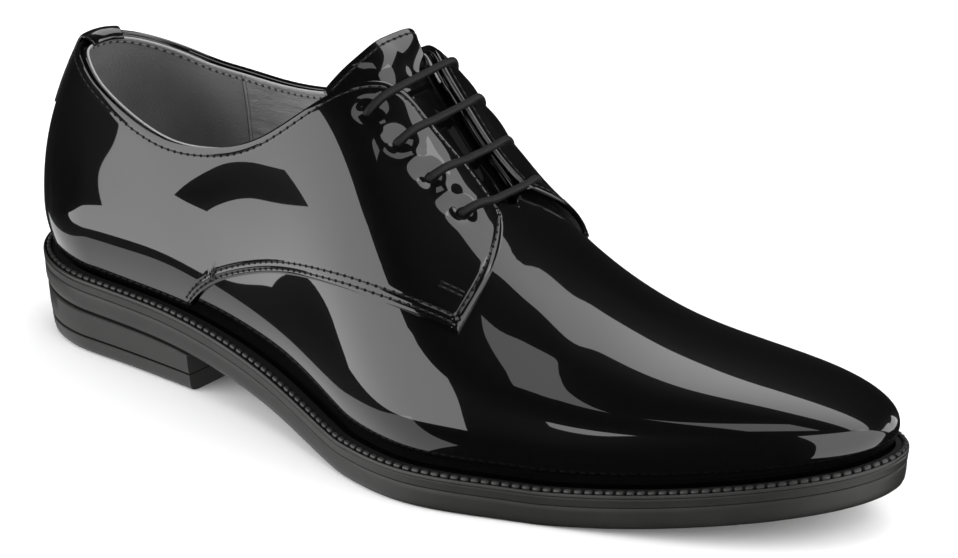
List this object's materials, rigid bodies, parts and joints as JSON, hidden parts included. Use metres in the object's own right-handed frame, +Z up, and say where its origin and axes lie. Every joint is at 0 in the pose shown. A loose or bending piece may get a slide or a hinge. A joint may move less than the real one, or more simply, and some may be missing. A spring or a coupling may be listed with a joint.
{
  "type": "patent leather dress shoe",
  "caption": "Plain-toe lace-up dress shoe in black patent leather: hollow upper with lapped quarters, tongue and laces on a welted rubber sole with a stacked heel.",
  "frame": {"origin": "on the floor under the middle of the shoe's length and width", "axes": "+X towards the toe, +Y towards the inner side of the foot, +Z up"},
  "size_m": [0.304, 0.1037, 0.1176],
  "materials": {
    "sole_rubber": "satin moulded rubber",
    "welt_rubber": "satin beaded welt",
    "patent_leather": "high gloss lacquer over black leather",
    "lining_leather": "matt grey lining",
    "lace_cord": "round waxed cord"
  },
  "bodies": {
    "root": {"outsole": "sole_rubber", "heel_block": "sole_rubber", "heel_top_lift": "sole_rubber", "welt": "welt_rubber", "insole": "lining_leather", "upper": "patent_leather", "quarter_outer": "patent_leather", "quarter_inner": "patent_leather", "back_strip": "patent_leather", "tongue": "patent_leather", "lace_bar_1": "lace_cord", "lace_bar_2": "lace_cord", "lace_bar_3": "lace_cord", "lace_bar_4": "lace_cord"}
  },
  "joints": []
}
